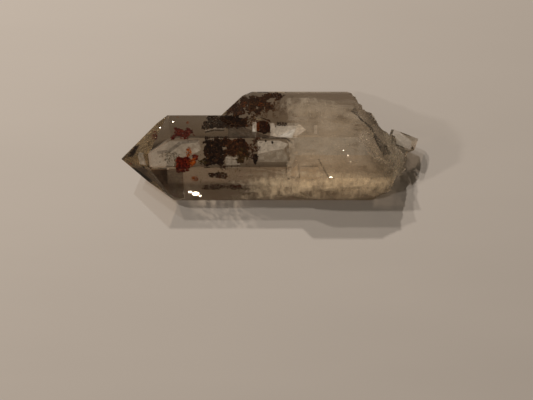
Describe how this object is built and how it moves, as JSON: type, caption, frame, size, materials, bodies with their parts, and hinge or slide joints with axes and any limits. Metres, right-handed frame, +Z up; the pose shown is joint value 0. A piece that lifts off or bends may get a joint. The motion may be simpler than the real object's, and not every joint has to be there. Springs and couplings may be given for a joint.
{
  "type": "garden quartz point",
  "caption": "Clear quartz crystal with a second point grown against its back, a thicker milky half with a rough broken end, and moss and iron oxide sealed inside; a display stone that lies on a flat face.",
  "frame": {"origin": "the centre of the box of the whole crystal, on the surface that it rests on", "axes": "+X from the tip to the broken end along the crystal's length, +Y towards the second point, +Z up"},
  "size_m": [0.0918, 0.0346, 0.0243],
  "materials": {
    "quartz": "clear, faintly smoky natural crystal with sharp flat faces and a rough broken end",
    "moss": "dark brown to black mineral moss, granular",
    "iron_oxide": "rust red to orange mineral flakes"
  },
  "bodies": {
    "root": {"quartz_lower": "quartz", "quartz_upper": "quartz", "moss_main": "moss", "moss_second": "moss", "rust_flakes": "iron_oxide", "rust_block": "iron_oxide"}
  },
  "joints": []
}
